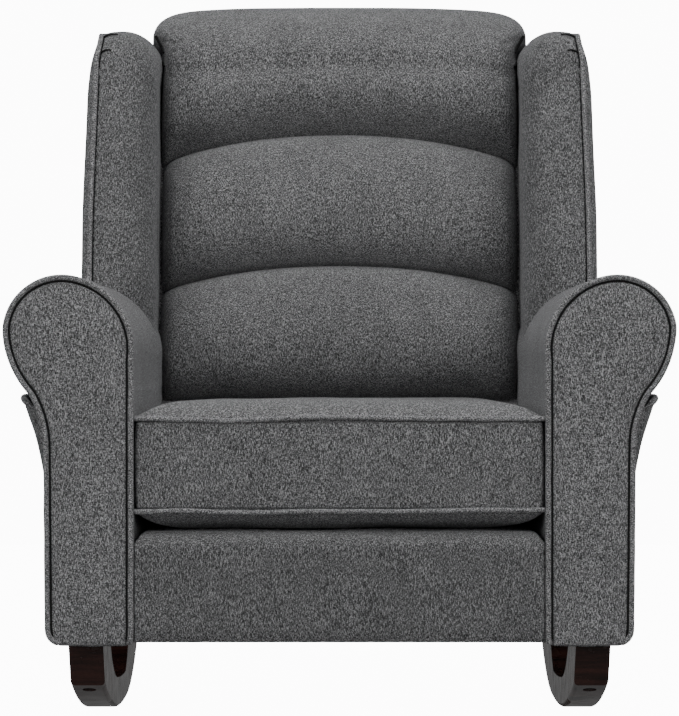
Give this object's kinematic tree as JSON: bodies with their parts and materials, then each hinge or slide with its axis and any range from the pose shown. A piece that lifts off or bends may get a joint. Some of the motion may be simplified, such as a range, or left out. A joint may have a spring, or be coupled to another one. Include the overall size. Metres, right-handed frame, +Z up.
{
  "type": "rocking chair",
  "caption": "Upholstered wingback armchair on two curved wooden rockers, with scroll arms, a channelled back, side pockets and a loose seat cushion.",
  "frame": {"origin": "on the floor, at the centre of the base of the chair's bounding box; the rockers touch the floor at Y = 14 mm", "axes": "+X to the right seen from the front, +Y from the front of the arms to the back, +Z up"},
  "size_m": [0.844, 0.799, 1.002],
  "materials": {
    "upholstery": "heathered mid-grey linen-look weave",
    "piping": "the same cloth cut on the bias round a cord",
    "rocker_wood": "espresso stain under gloss lacquer",
    "frame_wood": "bare sawn hardwood",
    "plywood": "bare plywood",
    "steel": "zinc plated",
    "webbing": "elastic webbing",
    "dust_cloth": "black spun-bonded cloth",
    "zipper": "nylon coil zipper"
  },
  "bodies": {
    "chair": {"arm_face_left": "upholstery", "arm_face_right": "upholstery", "arm_front_board_left": "plywood", "arm_front_board_right": "plywood", "arm_rear_post_left": "frame_wood", "arm_rear_post_right": "frame_wood", "arm_roll_left": "upholstery", "arm_roll_right": "upholstery", "arm_top_rail_left": "frame_wood", "arm_top_rail_right": "frame_wood", "arm_welt_left": "piping", "arm_welt_right": "piping", "back_bottom_rail": "frame_wood", "back_middle_rail": "frame_wood", "back_post_left": "frame_wood", "back_post_right": "frame_wood", "back_roll_bottom": "upholstery", "back_roll_middle": "upholstery", "back_roll_top": "upholstery", "back_top_rail": "frame_wood", "back_webbing": "webbing", "corner_blocks": "frame_wood", "dust_cover": "dust_cloth", "frame_bolts": "steel", "front_band": "upholstery", "front_rail": "frame_wood", "inside_arm_left": "upholstery", "inside_arm_right": "upholstery", "outside_arm_left": "upholstery", "outside_arm_right": "upholstery", "outside_back": "upholstery", "rear_rail": "frame_wood", "rocker_bolts": "steel", "rocker_dowels": "frame_wood", "rocker_left": "rocker_wood", "rocker_right": "rocker_wood", "seat_deck": "upholstery", "seat_springs": "steel", "side_pocket_left": "upholstery", "side_pocket_right": "upholstery", "side_rail_left": "frame_wood", "side_rail_right": "frame_wood", "spring_clips": "steel", "wing_board_left": "plywood", "wing_board_right": "plywood", "wing_pad_left": "upholstery", "wing_pad_right": "upholstery", "wing_welt_left": "piping", "wing_welt_right": "piping"},
    "cushion": {"seat_cushion": "upholstery", "seat_welt_top": "piping", "seat_welt_bottom": "piping", "cushion_zipper": "zipper"}
  },
  "joints": [
    {"name": "cushion_lift", "type": "slide", "parent": "chair", "child": "cushion", "axis": [0, 0, 1], "range_m": [0, 0.3]}
  ]
}
